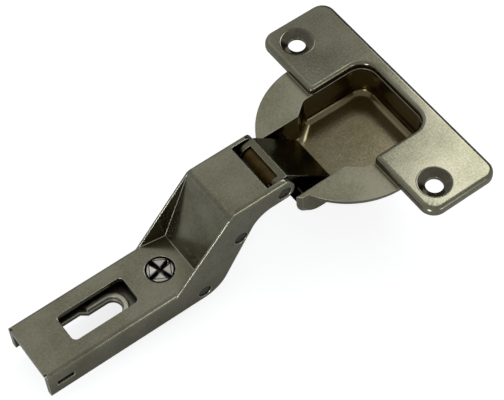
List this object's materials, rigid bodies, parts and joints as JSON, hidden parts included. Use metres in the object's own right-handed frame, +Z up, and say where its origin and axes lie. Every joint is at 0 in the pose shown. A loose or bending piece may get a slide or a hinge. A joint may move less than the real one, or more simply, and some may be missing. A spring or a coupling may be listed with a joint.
{
  "type": "cranked hinge",
  "caption": "Concealed cabinet hinge with a fully cranked slotted arm, a linked knuckle and a screw-on flanged cup, stored open.",
  "frame": {"origin": "place of the fixing screw in the narrow round end of the keyhole slot, on the seat plane under the adjusting plate", "axes": "+X along the arm towards the cup, +Y across the hinge along the cup's line of screw holes, +Z up from the seat"},
  "size_m": [0.1007, 0.0604, 0.0236],
  "materials": {
    "nickel_plate": "satin nickel plate on pressed steel",
    "zinc_plate": "zinc plate",
    "spring_steel": "bright spring strip",
    "brown_sleeve": "brown moulded sleeve"
  },
  "bodies": {
    "seat": {"adjusting_plate": "zinc_plate"},
    "arm": {"hinge_arm": "nickel_plate", "front_arm_pin": "nickel_plate", "rear_arm_pin": "nickel_plate", "spring_anchor_pin": "nickel_plate", "pin_sleeve": "brown_sleeve", "closing_spring": "spring_steel"},
    "screw": {"adjusting_screw": "zinc_plate"},
    "outer": {"outer_link": "nickel_plate"},
    "inner": {"inner_link": "nickel_plate", "inner_cup_pin": "nickel_plate"},
    "cup": {"hinge_cup": "nickel_plate", "outer_cup_pin": "nickel_plate"}
  },
  "joints": [
    {"name": "arm_tilt", "type": "hinge", "parent": "seat", "child": "arm", "pos_m": [-0.0165, 0, 0.0005], "axis": [0, -1, 0], "range_deg": [0, 1.5]},
    {"name": "screw_turn", "type": "hinge", "parent": "arm", "child": "screw", "pos_m": [0.0127, 0, 0.0046], "axis": [0, 0, -1], "range_deg": [0, 271]},
    {"name": "link_swing", "type": "hinge", "parent": "arm", "child": "outer", "pos_m": [0.0404, 0, 0.0176], "axis": [0, -1, 0], "range_deg": [-33.1, 0]},
    {"name": "inner_swing", "type": "hinge", "parent": "arm", "child": "inner", "pos_m": [0.0287, 0, 0.01125], "axis": [0, -1, 0], "range_deg": [-37.1, 0]},
    {"name": "door_swing", "type": "hinge", "parent": "outer", "child": "cup", "pos_m": [0.0514, 0, 0.0094], "axis": [0, -1, 0], "range_deg": [0, 123]}
  ],
  "couplings": [
    {"joint": "screw_turn", "follows": "arm_tilt", "ratio": 180},
    {"joint": "link_swing", "follows": "door_swing", "ratio": -0.26829},
    {"joint": "inner_swing", "follows": "door_swing", "ratio": -0.30081}
  ]
}
